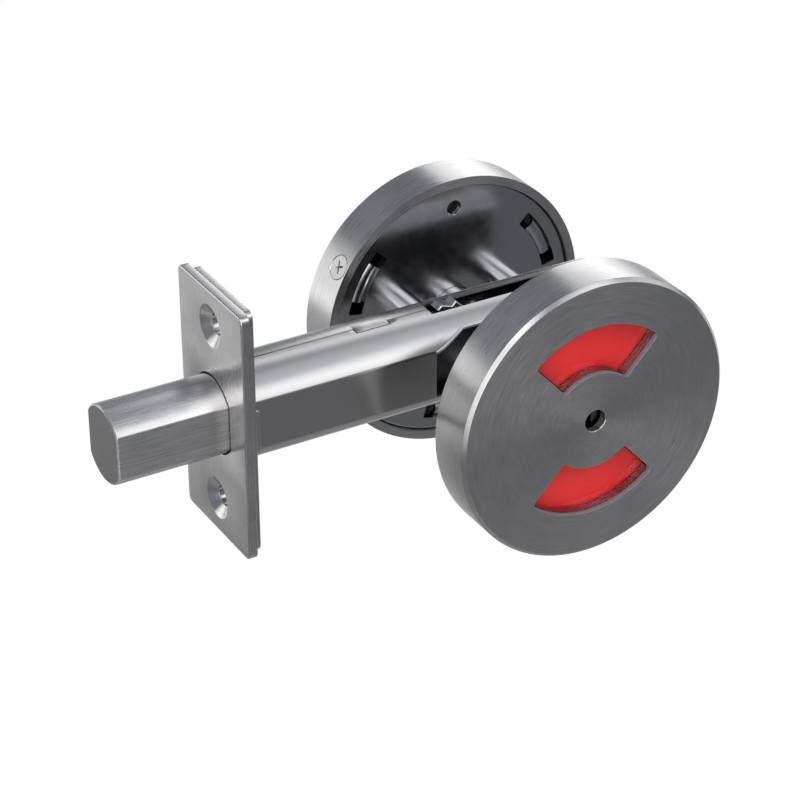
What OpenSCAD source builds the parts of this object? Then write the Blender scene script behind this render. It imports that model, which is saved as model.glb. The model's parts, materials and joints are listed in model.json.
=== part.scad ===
// Tubular privacy bolt with two round roses and a red occupied indicator.
// Origin: middle of the face plate's outer face, on the bolt's axis.
// X runs into the door, the outside rose faces -Y, Z is up. Millimetres.
// Drawn locked: the bolt is thrown and the lever leans 45 degrees towards it.

/* [Face plate] */
// Height of the face plate
plate_h = 57.2; // [50:0.1:75]
// Width of the face plate
plate_w = 28.6; // [25:0.1:40]
// Thickness of the face plate
plate_t = 2; // [1.5:0.1:4]
// Corner radius of the face plate
plate_r = 1.6; // [0.5:0.1:6]
// Distance between the two fixing screws
screw_pitch = 41; // [34:0.5:60]
// Radius of a fixing hole
screw_r = 2.4; // [1.5:0.1:3]
// Radius of a countersink at the outer face
screw_sink_r = 4.7; // [3.5:0.1:6]
// Thickness of the backing plate
back_t = 1.7; // [1:0.1:3]
// Step from the face plate's long edges to the backing plate's
back_step = 1.9; // [0.3:0.1:3]
// Step from the face plate's ends to the backing plate's
back_end_step = 0.2; // [0.1:0.1:3]
// Corner radius of the backing plate
back_r = 2; // [1:0.1:6]
// Height of the two ears that grip the case
ear_h = 10; // [6:0.1:12]
// Drop of the ears' middle below the bolt's axis
ear_drop = 0.7; // [0:0.1:1.5]
// Length of the two ears that grip the case
ear_l = 2; // [1:0.1:5]
// Thickness of an ear
ear_t = 0.7; // [0.4:0.1:1.5]

/* [Bolt] */
// Radius of the bolt's round faces
bolt_r = 8.6; // [7:0.1:9]
// Half distance between the bolt's flats
bolt_flat = 7.05; // [5:0.05:8]
// Travel of the bolt
bolt_throw = 25; // [15:0.5:26]
// Length of the bolt head that stays in the case when thrown
bolt_rear = 13; // [10:0.5:18]
// Chamfer at the bolt's end
bolt_chamfer = 0.6; // [0.2:0.1:1.5]
// Half width of the tail bar
tail_y = 3.6; // [3:0.1:3.8]
// Underside of the tail bar above the bolt's axis
tail_z0 = 5; // [4:0.1:5.5]
// Top of the tail bar above the bolt's axis
tail_z1 = 8.4; // [7:0.1:8.6]
// Length of the tail's tongue in the bolt head
tongue_l = 9; // [8:0.1:10]
// Thickness of the tail's tongue
tongue_t = 2.3; // [1.8:0.1:2.8]
// Distance between the two rivets in the tongue
rivet_pitch = 4; // [3.4:0.1:5]
// Radius of a rivet
rivet_r = 1.2; // [0.8:0.1:1.4]
// Depth of a rivet below the tongue
rivet_depth = 3; // [2:0.1:4]
// Length of the rails behind the rear drive pin
rail_tip = 2.8; // [2:0.1:4]
// Length of the rails' window before the front drive pin
rail_root = 3.6; // [3:0.1:5]
// Radius of a drive pin
pin_r = 1; // [0.6:0.1:1.2]

/* [Case] */
// Wall of the bush that guides the bolt in the case
guide_t = 0.9; // [0.6:0.05:1.5]
// Sheet thickness of the case
case_wall = 1; // [0.6:0.1:1.4]
// Where the case ends, behind the face plate's outer face
case_end = 93.5; // [92:0.5:105]
// Where the side openings begin
side_x = 48; // [42:0.5:50]
// Length of the ramp at the start of a side opening
side_ramp = 7.6; // [4:0.1:8]
// Half height of a side opening
side_z = 8.3; // [7:0.1:9]
// Width of the lever's slot in the top
slot_w = 5; // [4:0.1:6]
// Where the lever's slot begins
slot_x = 50.8; // [49:0.1:51.5]
// Width of the rolled seam
seam_w = 0.22; // [0.1:0.02:0.4]
// Where the seam's lock tab begins
seam_tab_x = 33.1; // [20:0.1:36]
// Length of the seam's lock tab
seam_tab_l = 8.5; // [4:0.1:12]

/* [Hub and lever] */
// Distance from the face plate to the spindle's axis
backset = 72; // [70:0.5:74]
// Drop of the spindle's axis below the bolt's axis
hub_drop = 5.8; // [5.5:0.1:6.5]
// Turn of the lever between locked and free
turn_deg = 90; // [80:1:90]
// Reach of the lever's nose
lever_r = 25.1; // [24:0.1:26]
// Reach of the lever's shoulder
lever_step_r = 22.7; // [21:0.1:23.5]
// Width of the lever
lever_w = 4; // [3:0.1:4.4]
// Thickness of the lever
lever_t = 3.2; // [2:0.1:3.4]
// Radius of the hub between the cheeks
hub_r = 6.6; // [6:0.1:7]
// Radius of the hub's journals
journal_r = 5; // [4.5:0.05:5.4]
// Thickness of a cheek
cheek_t = 1.6; // [1:0.1:2]
// Inner face of a cheek from the middle plane
cheek_y = 4.4; // [4.1:0.1:5]
// Radius of a pin between the cheeks
cheek_pin_r = 1.9; // [1.5:0.1:2]
// Distance of the rear pin from the case's end
cheek_pin_end = 2.9; // [2.4:0.1:4]
// Side of the square spindle
spindle_w = 5; // [4:0.1:5.2]

/* [Roses] */
// Door thickness between the two rose rims
door_t = 46; // [44:0.5:60]
// Diameter of a rose
rose_d = 65; // [62:0.5:75]
// Depth of a rose
rose_depth = 11.2; // [11:0.1:16]
// Side wall of a rose
rose_wall = 2; // [1.2:0.1:2.4]
// Face thickness of a rose
rose_face = 2; // [1.5:0.1:2.2]
// Chamfer between face and side
rose_chamfer = 0.9; // [0.4:0.1:1.6]
// Inner radius of a window
win_in = 11.2; // [10.8:0.1:13]
// Outer radius of a window
win_out = 22.3; // [20:0.1:23]
// Half angle of a window
win_half = 42.6; // [30:0.2:43]
// Corner radius of a window
win_r = 0.4; // [0.3:0.1:2]
// Radius of the emergency release hole
release_r = 2.5; // [1.5:0.1:3.5]

/* [Inside the roses] */
// Step from the rim back to the mounting plate
mount_step = 0.8; // [0.3:0.1:1.2]
// Thickness of a mounting plate
mount_t = 1.5; // [1:0.1:1.8]
// Radius of a mounting plate's edge on the door side
mount_edge = 0.5; // [0.2:0.1:0.9]
// Distance from the mounting plate's edge to the middle of its three pressed bridges
bridge_edge = 4.5; // [4.2:0.1:5]
// Radial width of the opening at a bridge
bridge_w = 3.4; // [2:0.1:4]
// Half angle of the opening at a bridge
bridge_half = 16.5; // [12:0.5:18]
// Half angle of the arched strip left in the opening
strip_half = 10; // [6:0.5:11]
// Sheet thickness of the arched strip
strip_t = 0.9; // [0.6:0.1:1.2]
// Distance of the posts from the spindle's axis, along the door
post_x = 13.2; // [12.5:0.1:14]
// Height of the posts above the spindle's axis
post_up = 3.8; // [3:0.1:4]
// Radius of a post
post_r = 3.8; // [2.5:0.1:4]
// Radius of a tie screw between the plates
tie_r = 1.6; // [1.2:0.1:2]
// Length of a tie screw below its plate
tie_l = 12; // [8:0.5:16]
// Radius of a tie screw's head
tie_head_r = 3.2; // [2.6:0.1:3.6]
// Height of a tie screw's head
tie_head_h = 2.2; // [1.5:0.1:2.6]
// Outer radius of a spindle boss
boss_r = 5.5; // [5.2:0.1:7]
// Reach of a boss past the rose's rim
boss_reach = 2.3; // [1.5:0.1:3]
// Width of a boss's flange
boss_lip = 1.5; // [1:0.1:2]
// Height of a boss's flange above its plate
boss_flange = 1.6; // [1:0.1:2]
// Radius of the shafts that run in the bosses
shaft_r = 4.6; // [4.2:0.05:4.7]
// Thickness of a window pane
lens_t = 1.4; // [1:0.1:1.6]
// Lip of a pane behind its window
lens_lip = 0.8; // [0.5:0.1:1]
// Depth of a pane's pad below the rose's face
lens_sink = 0.9; // [0.6:0.1:1.2]
// Thickness of an indicator panel
panel_t = 0.8; // [0.4:0.1:1]
// Outer radius of an indicator panel
panel_out = 26.4; // [24:0.1:27]
// Half angle of a red indicator panel
panel_half = 44.8; // [43:0.1:44.8]
// Angle between a red and a green panel
panel_gap = 0.4; // [0.2:0.1:1]
// Reach of a green panel past the window's outer edge, inside the red rim
green_lip = 0.9; // [0.5:0.1:1.2]
// Gap between panels and panes
panel_play = 0.5; // [0.3:0.1:0.8]
// Thickness of the disc that carries the panels
carrier_t = 1.2; // [0.8:0.1:1.4]
// Radius of the disc that carries the panels
carrier_r = 14; // [12:0.5:20]
// Angle of the rose's side screw round the spindle's axis
side_screw_deg = 149.3; // [140:0.1:160]
// Distance of the side screw from the rose's rim
side_screw_y = 3.3; // [3.2:0.1:4]
// Radius of the side screw
side_screw_r = 1.5; // [1:0.1:1.6]
// Radius of the side screw's head
side_head_r = 2.9; // [2:0.1:2.9]
// Height of the side screw's head
side_head_h = 1.4; // [1:0.1:1.6]

/* [Thumb turn] */
// Radius of the turn's base
turn_base_r = 9.8; // [8:0.1:10.5]
// Length of the turn's grip
turn_l = 24; // [16:0.5:30]
// Thickness of the turn's grip at its top
turn_w = 6; // [4:0.1:8]
// Height of the turn above the rose
turn_h = 18; // [12:0.5:24]

/* [Clearances] */
// Play between sliding or passing parts
play = 0.3; // [0.25:0.01:0.4]
// Radial play of a running shaft
run_play = 0.05; // [0.02:0.01:0.09]
// Gap between seated parts
seat_gap = 0.1; // [0.02:0.01:0.15]

/* [Hidden] */
$fn = 96;
rose_r = rose_d / 2;
rim_y = door_t / 2;
face_y = rim_y + rose_depth;
face_in_y = face_y - rose_face;
mount_y = rim_y + mount_step;
mount_top_y = mount_y + mount_t;
mount_r = rose_r - rose_wall - 2 * seat_gap;
case_x = plate_t + back_t;
// From the bolt's faces to the case's outer faces: play, bush, seat and sheet
case_build = play + guide_t + seat_gap + case_wall;
case_r = bolt_r + case_build;
case_flat = bolt_flat + case_build;
bridge_r = mount_r - bridge_edge;
boss_y = rim_y - boss_reach;
boss_top_y = mount_top_y + boss_flange;
lens_y = face_in_y - lens_t - seat_gap;
panel_y = lens_y - panel_t - panel_play;
green_half = 90 - panel_half - panel_gap;
green_out = win_out + green_lip;
carrier_y = panel_y - carrier_t;
core_y = face_in_y - 0.7;
shaft_y = boss_y + play;
sleeve_r = boss_r - play;
hub_y = cheek_y - play;
journal_y = cheek_y + cheek_t + 3;
pin_z = bolt_throw / 2 / tan(turn_deg / 2) - hub_drop;
pin_x = backset - bolt_throw / 2;
// Free swing that the window leaves round the lever
swing = 1.2;
// Excess of a corner's circle, so that it crosses the edges that it rounds
bulge = 0.02;
cheek_in_r = case_r - case_wall - seat_gap / 2;
cheek_z = sqrt(pow(cheek_in_r, 2) - pow(cheek_y + cheek_t, 2));
cheek_pin_x = [side_x - 0.5, case_end - cheek_pin_end];
cheek_pin_z = -5.2;
cheek_rivet_r = 0.65 * cheek_pin_r;
pin_gap = (lever_w / 2 + pin_r + seat_gap) / cos(turn_deg / 2.7) + swing;
rail_end = pin_x + pin_gap + rail_tip;
rail_x = pin_x - pin_gap - rail_root;
rivet_x = [for (s = [-1, 1]) bolt_rear - tongue_l / 2 + s * rivet_pitch / 2];
bridge_deg = [28, 152, 270];

// Rectangle with round corners about the origin.
module round_rect(w, h, r) {
  square([w - 2 * r, h], center = true);
  square([w, h - 2 * r], center = true);
  for (sx = [-1, 1])
    for (sy = [-1, 1])
      translate([sx * (w / 2 - r), sy * (h / 2 - r)])
        circle(r);
}

// Circle of radius r cut by two flats parallel to its second axis.
module flatted(r, flat) {
  intersection() {
    circle(r);
    square([2 * flat, 3 * r], center = true);
  }
}

// Drawing in Y and Z, extruded from x0 to x1.
module along_x(x0, x1) {
  translate([x0, 0, 0])
    rotate([90, 0, 90])
      linear_extrude(x1 - x0)
        children();
}

// Drawing in X and Z, extruded from y0 to y1.
module along_y(y0, y1) {
  translate([0, y1, 0])
    rotate([90, 0, 0])
      linear_extrude(y1 - y0)
        children();
}

// Moves a drawing to the spindle's axis.
module at_spindle() {
  translate([backset, 0, -hub_drop])
    children();
}

// Ring sector of a given half angle, middled on the second axis.
module sector(r0, r1, half) {
  reach = r1 / cos(half) + 1;
  difference() {
    intersection() {
      circle(r1);
      polygon([[0, 0], [reach * sin(half), reach * cos(half)], [-reach * sin(half), reach * cos(half)]]);
    }
    circle(r0);
  }
}

// Ring sector with round corners of radius c.
module window(r0, r1, half, c) {
  in_half = half - asin(c / (r0 + c));
  out_half = half - asin(c / (r1 - c));
  sector(r0 + c, r1 - c, half);
  sector(r0, r0 + c + 0.01, in_half);
  sector(r1 - c - 0.01, r1, out_half);
  for (s = [-1, 1]) {
    rotate(s * in_half)
      translate([0, r0 + c])
        circle(c + bulge);
    rotate(s * out_half)
      translate([0, r1 - c])
        circle(c + bulge);
  }
}

// Revolves a profile of radius and depth round the spindle's axis, depth towards +Y.
module turned(y0) {
  translate([0, y0, 0])
    rotate([-90, 0, 0])
      rotate_extrude()
        children();
}

// Hollow shaft round the square spindle, from y0 to y1.
module socket(y0, y1, r, depth_y) {
  difference() {
    along_y(y0, y1)
      circle(r);
    along_y(y0 - 1, depth_y)
      square(spindle_w + 2 * seat_gap, center = true);
  }
}

// Outer plate with two countersunk holes and the bolt's opening.
module face_plate() {
  color("silver")
    difference() {
      along_x(0, plate_t)
        round_rect(plate_w, plate_h, plate_r);
      along_x(-1, plate_t + 1)
        flatted(bolt_r + play, bolt_flat + play);
      for (s = [-1, 1])
        translate([0, 0, s * screw_pitch / 2])
          rotate([0, 90, 0]) {
            translate([0, 0, -1])
              cylinder(r = screw_r, h = plate_t + 2);
            translate([0, 0, -0.01])
              cylinder(r1 = screw_sink_r, r2 = screw_r, h = 0.8 * plate_t);
          }
    }
}

// Backing plate with two ears that lie on the case's flats.
module back_plate() {
  ear_root = 0.8 * back_t;
  color("lightgray")
    difference() {
      union() {
        along_x(plate_t, case_x)
          round_rect(plate_w - 2 * back_step, plate_h - 2 * back_end_step, back_r);
        for (s = [-1, 1])
          translate([case_x + (ear_l - ear_root) / 2, s * (case_flat + seat_gap + ear_t / 2), -ear_drop])
            rotate([90, 0, 0])
              linear_extrude(ear_t, center = true)
                round_rect(ear_l + ear_root, ear_h, 0.9);
      }
      along_x(0, case_x - 0.5)
        flatted(bolt_r + play, bolt_flat + play);
      along_x(case_x - 0.6, case_x + 1)
        flatted(case_r + seat_gap, case_flat + seat_gap);
      for (s = [-1, 1])
        translate([0, 0, s * screw_pitch / 2])
          rotate([0, 90, 0])
            cylinder(r = screw_r, h = case_x + 1);
    }
}

// Opening in both sides of the case, with a ramp at its start.
module side_opening() {
  x1 = side_x + side_ramp;
  far = case_end + 1;
  z0 = sqrt(pow(case_r, 2) - pow(case_flat, 2)) - 0.3;
  polygon([[side_x, -z0], [side_x, z0], [x1, side_z], [far, side_z], [far, -case_r - 1],
    [x1 + 3, -case_r - 1], [x1 - 1, -z0]]);
}

// Rolled case with flat sides, a locked seam on top and the lever's slot.
module bolt_case() {
  tab_end = seam_tab_x + seam_tab_l;
  color("gainsboro")
    difference() {
      along_x(case_x - 0.5, case_end)
        difference() {
          flatted(case_r, case_flat);
          flatted(case_r - case_wall, case_flat - case_wall);
        }
      along_y(-case_r - 1, case_r + 1)
        side_opening();
      translate([slot_x, -slot_w / 2, 0])
        cube([case_end, slot_w, case_r + 1]);
      translate([case_x - 1, 0.35, case_r - 0.45])
        cube([seam_tab_x - case_x + 1, seam_w, 1]);
      translate([seam_tab_x, -0.45, case_r - 0.45])
        cube([seam_tab_l, seam_w, 1]);
      translate([tab_end, 0.35, case_r - 0.45])
        cube([slot_x - tab_end, seam_w, 1]);
      for (x = [seam_tab_x, tab_end])
        translate([x - seam_w / 2, -0.45, case_r - 0.45])
          cube([seam_w, 0.8 + seam_w, 1]);
    }
}

// Bush between case and bolt, just behind the plates.
module bolt_guide() {
  color("dimgray")
    along_x(case_x, bolt_rear - 1)
      difference() {
        flatted(case_r - case_wall - seat_gap, case_flat - case_wall - seat_gap);
        flatted(bolt_r + play, bolt_flat + play);
      }
}

// Outline of a cheek: a bar that widens to a lobe round the hub.
module cheek_outline() {
  lobe_r = journal_r + 2.6;
  difference() {
    union() {
      translate([side_x - 4, -cheek_z])
        square([case_end - side_x + 3.2, 2 * cheek_z]);
      translate([backset, -hub_drop])
        circle(lobe_r);
    }
    translate([backset, -hub_drop])
      circle(journal_r + run_play);
    for (s = [-1, 1])
      translate([backset + s * post_x, post_up - hub_drop])
        circle(post_r + play);
    for (x = cheek_pin_x)
      translate([x, cheek_pin_z])
        circle(cheek_rivet_r + seat_gap / 5);
  }
}

// Two cheeks that carry the hub inside the case.
module hub_cheeks() {
  color("darkgray")
    for (s = [0, 1])
      mirror([0, s, 0])
        along_y(cheek_y, cheek_y + cheek_t)
          cheek_outline();
}

// Two shouldered pins that hold the cheeks apart.
module cheek_pins() {
  color("gray")
    for (x = cheek_pin_x)
      translate([x, 0, cheek_pin_z]) {
        along_y(-cheek_y, cheek_y)
          circle(cheek_pin_r);
        along_y(-cheek_y - cheek_t - 0.5, cheek_y + cheek_t + 0.5)
          circle(cheek_rivet_r);
      }
}

// Bolt head with two flats, a chamfered end and a notch for the tail.
module bolt_head() {
  back_x = bolt_rear;
  color("silver")
    difference() {
      union() {
        along_x(-bolt_throw + bolt_chamfer, back_x)
          flatted(bolt_r, bolt_flat);
        intersection() {
          translate([-bolt_throw, 0, 0])
            rotate([0, 90, 0])
              cylinder(r1 = bolt_r - bolt_chamfer, r2 = bolt_r, h = bolt_chamfer);
          along_x(-bolt_throw, 0)
            square([2 * bolt_flat, 3 * bolt_r], center = true);
        }
      }
      translate([back_x - tongue_l, -tail_y - seat_gap, tail_z0 - seat_gap])
        cube([2 * tongue_l, 2 * tail_y + 2 * seat_gap, bolt_r]);
      for (x = rivet_x)
        translate([x, 0, tail_z0 - rivet_depth])
          cylinder(r = rivet_r + seat_gap, h = bolt_r);
    }
}

// Tail bar: a tongue in the bolt head, a bar, and two rails beside the lever.
module bolt_tail() {
  tongue_x = bolt_rear - tongue_l + seat_gap;
  rail_in = lever_t / 2 + play + seat_gap;
  color("dimgray")
    difference() {
      union() {
        translate([tongue_x, -tail_y, tail_z0])
          cube([bolt_rear - tongue_x + 1, 2 * tail_y, tongue_t]);
        translate([bolt_rear + 0.3, -tail_y, tail_z0])
          cube([rail_end - bolt_rear - 0.3, 2 * tail_y, tail_z1 - tail_z0]);
      }
      translate([rail_x, -rail_in, tail_z0 - 1])
        cube([rail_end, 2 * rail_in, tail_z1 - tail_z0 + 2]);
      for (x = rivet_x)
        translate([x, 0, 0])
          cylinder(r = rivet_r + seat_gap, h = bolt_r);
      for (s = [-1, 1])
        translate([pin_x + s * pin_gap, 0, pin_z])
          along_y(-tail_y - 1, tail_y + 1)
            circle(pin_r + seat_gap / 5);
    }
}

// Two pins across the rails, before and behind the lever.
module drive_pins() {
  color("gray")
    for (s = [-1, 1])
      translate([pin_x + s * pin_gap, 0, pin_z])
        along_y(-tail_y, tail_y)
          circle(pin_r);
}

// Two rivets that join tail and bolt head.
module tail_rivets() {
  color("gray")
    for (x = rivet_x)
      translate([x, 0, tail_z0 - rivet_depth + seat_gap])
        cylinder(r = rivet_r, h = rivet_depth + tongue_t + 2 * seat_gap);
}

// Hub with two journals and the stepped lever, drawn in the locked place.
module cam_lever() {
  half = lever_w / 2;
  neck = hub_r - 2;
  color("darkgray")
    at_spindle()
      difference() {
        union() {
          along_y(-hub_y, hub_y)
            circle(hub_r);
          along_y(-journal_y, journal_y)
            circle(journal_r);
          along_y(-lever_t / 2, lever_t / 2)
            rotate(turn_deg / 2)
              polygon([[-half, neck], [half, neck], [half, lever_step_r], [half - 1.4, lever_step_r],
                [-0.7, lever_r], [-half, lever_r]]);
        }
        along_y(-journal_y - 1, journal_y + 1)
          square(spindle_w + 2 * seat_gap, center = true);
      }
}

// Square bar from the release core to the thumb turn.
module spindle() {
  color("silver")
    at_spindle()
      along_y(-core_y + 3.2, face_y)
        square(spindle_w, center = true);
}

// Spacer tubes between the hub and the two bosses.
module spindle_sleeves() {
  color("lightgray")
    at_spindle()
      for (s = [0, 1])
        mirror([0, s, 0])
          along_y(journal_y + play, boss_y - play)
            difference() {
              circle(sleeve_r);
              circle(spindle_w / sqrt(2) + seat_gap / 2);
            }
}

// Cup with a chamfered face and two windows; the face points to +Y.
module rose_cup(hole_r) {
  inner_r = rose_r - rose_wall;
  difference() {
    turned(rim_y)
      polygon([[inner_r, 0], [rose_r, 0], [rose_r, rose_depth - rose_chamfer],
        [rose_r - rose_chamfer, rose_depth], [hole_r, rose_depth], [hole_r, rose_depth - rose_face],
        [inner_r, rose_depth - rose_face]]);
    for (a = [0, 180])
      along_y(rim_y, face_y + 1)
        rotate(a)
          window(win_in, win_out, win_half, win_r);
  }
}

// Rose that faces the corridor, with the emergency release hole.
module outside_rose() {
  color("silver")
    at_spindle()
      mirror([0, 1, 0])
        rose_cup(release_r);
}

// Radial hole or pin of radius r at the side screw, between two distances from the axis.
module side_screw_bar(r, d0, d1) {
  translate([0, rim_y + side_screw_y, 0])
    rotate([0, -side_screw_deg, 0])
      translate([d0, 0, 0])
        rotate([0, 90, 0])
          cylinder(r = r, h = d1 - d0);
}

// Cone of the side screw's head, widened by gap, from depth h below the rose's side.
module side_screw_cone(gap, h) {
  translate([0, rim_y + side_screw_y, 0])
    rotate([0, -side_screw_deg, 0])
      translate([rose_r - h, 0, 0])
        rotate([0, 90, 0])
          cylinder(r1 = side_screw_r + gap, r2 = side_head_r + gap, h = side_head_h + gap);
}

// Rose that faces the room, with the turn's hole and the side screw's seat.
module inside_rose() {
  color("silver")
    at_spindle()
      difference() {
        rose_cup(shaft_r + play);
        side_screw_bar(side_screw_r + 2 * seat_gap, mount_r - 2, rose_r + 1);
        side_screw_cone(2 * seat_gap, side_head_h + seat_gap);
      }
}

// Countersunk screw that locks the inside rose to its mounting plate.
module side_screw() {
  color("gainsboro")
    at_spindle()
      union() {
        side_screw_bar(side_screw_r, mount_r - 2.3, rose_r - side_head_h / 2);
        side_screw_cone(0, side_head_h + seat_gap / 2);
      }
}

// Two clear window panes behind a face, each with a pad that fills its window.
module lens_pair() {
  for (a = [0, 180]) {
    along_y(lens_y, lens_y + lens_t)
      rotate(a)
        window(win_in - lens_lip, win_out + lens_lip, win_half + 1.6, win_r);
    along_y(lens_y + lens_t - 0.1, face_y - lens_sink)
      rotate(a)
        window(win_in + seat_gap, win_out - seat_gap, win_half - 0.5, win_r);
  }
}

module outside_lenses() {
  color("white", 0.4)
    at_spindle()
      mirror([0, 1, 0])
        lens_pair();
}

module inside_lenses() {
  color("white", 0.4)
    at_spindle()
      lens_pair();
}

// Section of a mounting plate, with its edge rounded on the door side.
module mount_section() {
  square([mount_r - mount_edge, mount_t]);
  translate([mount_r - 2 * mount_edge, mount_edge])
    square([2 * mount_edge, mount_t - mount_edge]);
  translate([mount_r - mount_edge, mount_edge])
    circle(mount_edge);
}

// Section of an arched strip, with its crest towards the door.
module strip_section() {
  arch_r = bridge_w / 2 + 0.4;
  translate([bridge_r, mount_y + 0.2 + arch_r])
    difference() {
      circle(arch_r);
      circle(arch_r - strip_t);
      translate([-2 * arch_r, 0])
        square(4 * arch_r);
    }
}

// Pressed plate with three arched bridges, the boss's hole, two post holes and a screw hole.
module mount_disc(hole_r) {
  difference() {
    turned(mount_y)
      mount_section();
    along_y(mount_y - 1, mount_top_y + 1) {
      circle(boss_r + seat_gap);
      for (a = bridge_deg)
        rotate(a - 90)
          window(bridge_r - bridge_w / 2, bridge_r + bridge_w / 2, bridge_half, 0.4);
      for (s = [-1, 1])
        translate([s * post_x, post_up])
          circle(hole_r);
      translate([0, bridge_r - 0.6])
        circle(1.8);
    }
  }
  for (a = bridge_deg)
    rotate([0, -a, 0])
      rotate([-90, 0, 0])
        rotate([0, 0, -strip_half])
          rotate_extrude(angle = 2 * strip_half)
            strip_section();
}

// Outside mounting plate, with the posts riveted into it.
module outside_mount() {
  color("gray")
    at_spindle()
      mirror([0, 1, 0])
        mount_disc(post_r - 1);
}

// Inside mounting plate, with a tab for the rose's side screw.
module inside_mount() {
  color("gray")
    at_spindle()
      difference() {
        union() {
          mount_disc(tie_r + 2 * play);
          along_y(mount_y + 0.4, rim_y + side_screw_y + side_screw_r + 0.8)
            rotate(side_screw_deg - 90)
              sector(mount_r - 2.2, mount_r - 0.2, 6);
        }
        side_screw_bar(side_screw_r + seat_gap, mount_r - 2.6, mount_r + 3);
      }
}

// Boss that a shaft runs in, seated in a mounting plate with its flange on the plate.
module boss() {
  flange = mount_top_y + seat_gap / 2 - boss_y;
  turned(boss_y)
    polygon([[shaft_r + run_play, 0], [boss_r, 0], [boss_r, flange], [boss_r + boss_lip, flange],
      [boss_r + boss_lip, boss_top_y - boss_y], [shaft_r + run_play, boss_top_y - boss_y]]);
}

module outside_boss() {
  color("lightgray")
    at_spindle()
      mirror([0, 1, 0])
        boss();
}

module inside_boss() {
  color("lightgray")
    at_spindle()
      boss();
}

// Disc on a shaft that carries four indicator panels.
module carrier() {
  along_y(carrier_y, panel_y)
    difference() {
      circle(carrier_r);
      circle(shaft_r);
    }
}

module outside_carrier() {
  color("dimgray")
    at_spindle()
      mirror([0, 1, 0])
        carrier();
}

module inside_carrier() {
  color("dimgray")
    at_spindle()
      carrier();
}

// Red panels above and below the spindle, joined by a rim round the green ones.
module red_panels() {
  along_y(panel_y, panel_y + panel_t)
    difference() {
      circle(panel_out);
      circle(shaft_r + 1.4);
      for (a = [90, 270])
        rotate(a)
          sector(shaft_r, green_out + 2 * seat_gap, 90 - panel_half);
    }
}

// Two green panels, level with the spindle while the red ones show.
module green_panels() {
  for (a = [90, 270])
    along_y(panel_y, panel_y + panel_t)
      rotate(a)
        sector(shaft_r + 1.4, green_out, green_half);
}

module outside_reds() {
  color("red")
    at_spindle()
      mirror([0, 1, 0])
        red_panels();
}

module outside_greens() {
  color("green")
    at_spindle()
      mirror([0, 1, 0])
        green_panels();
}

module inside_reds() {
  color("red")
    at_spindle()
      red_panels();
}

module inside_greens() {
  color("green")
    at_spindle()
      green_panels();
}

// Slotted core behind the release hole, on the spindle's outer end.
module release_core() {
  color("dimgray")
    at_spindle()
      mirror([0, 1, 0])
        difference() {
          socket(shaft_y, core_y, shaft_r, core_y - 2.8);
          translate([0, core_y - 1.5, 0])
            along_y(0, 3)
              square([1.2, 6.4], center = true);
        }
}

// Turn knob: shaft, round base and a grip that tapers and rounds off.
module thumb_turn() {
  base_y = face_y + play;
  grip_y = base_y + 2.4;
  top_y = base_y + turn_h;
  color("silver")
    at_spindle() {
      socket(shaft_y, base_y + 0.5, shaft_r, face_y + 0.2);
      turned(base_y)
        polygon([[0, 0], [turn_base_r, 0], [turn_base_r, 1.8], [turn_base_r - 0.8, 2.6], [0, 2.6]]);
      intersection() {
        along_y(grip_y, top_y)
          round_rect(turn_l, turn_w + 4, 2.6);
        rotate([90, 0, 90])
          linear_extrude(turn_l + 2, center = true)
            polygon([[grip_y, -turn_w / 2 - 1.6], [top_y - 1, -turn_w / 2], [top_y, -turn_w / 2 + 1],
              [top_y, turn_w / 2 - 1], [top_y - 1, turn_w / 2], [grip_y, turn_w / 2 + 1.6]]);
        translate([0, grip_y + 4, 0])
          linear_extrude(2 * turn_w + 6, center = true)
            polygon([[-turn_base_r + 0.8, -5], [turn_base_r - 0.8, -5], [turn_l / 2, 3], [turn_l / 2, top_y],
              [-turn_l / 2, top_y], [-turn_l / 2, 3]]);
      }
    }
}

// Open rings that keep the two shafts in their bosses.
module shaft_clips() {
  color("gray")
    at_spindle()
      for (s = [0, 1])
        mirror([0, s, 0])
          along_y(boss_top_y + play, boss_top_y + play + 0.6)
            difference() {
              circle(shaft_r + 1.6);
              circle(shaft_r);
              translate([0, -shaft_r])
                square([3.2, 2 * shaft_r], center = true);
            }
}

// Two posts from the outside plate to the inside plate, tapped at the inside end.
module mount_posts() {
  color("silver")
    at_spindle()
      for (s = [-1, 1])
        translate([s * post_x, 0, post_up])
          difference() {
            union() {
              along_y(-mount_y, mount_y)
                circle(post_r);
              along_y(-mount_top_y, -mount_y + 1)
                circle(post_r - 1 - seat_gap / 2);
            }
            along_y(mount_y - tie_l - 2, mount_y + 1)
              circle(tie_r + seat_gap);
          }
}

// Two screws through the inside plate into the posts.
module tie_screws() {
  color("gainsboro")
    at_spindle()
      for (s = [-1, 1])
        translate([s * post_x, 0, post_up]) {
          along_y(mount_y - tie_l, mount_top_y + tie_head_h / 2)
            circle(tie_r);
          along_y(mount_top_y, mount_top_y + tie_head_h)
            circle(tie_head_r);
        }
}

face_plate();
back_plate();
bolt_case();
bolt_guide();
hub_cheeks();
cheek_pins();
bolt_head();
bolt_tail();
drive_pins();
tail_rivets();
cam_lever();
spindle();
spindle_sleeves();
outside_rose();
outside_lenses();
outside_mount();
outside_boss();
outside_carrier();
outside_reds();
outside_greens();
release_core();
inside_rose();
inside_lenses();
inside_mount();
inside_boss();
inside_carrier();
inside_reds();
inside_greens();
thumb_turn();
shaft_clips();
mount_posts();
tie_screws();
side_screw();
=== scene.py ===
import json
import math

import bmesh
import bpy
import numpy as np
from mathutils import Matrix, Vector


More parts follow.
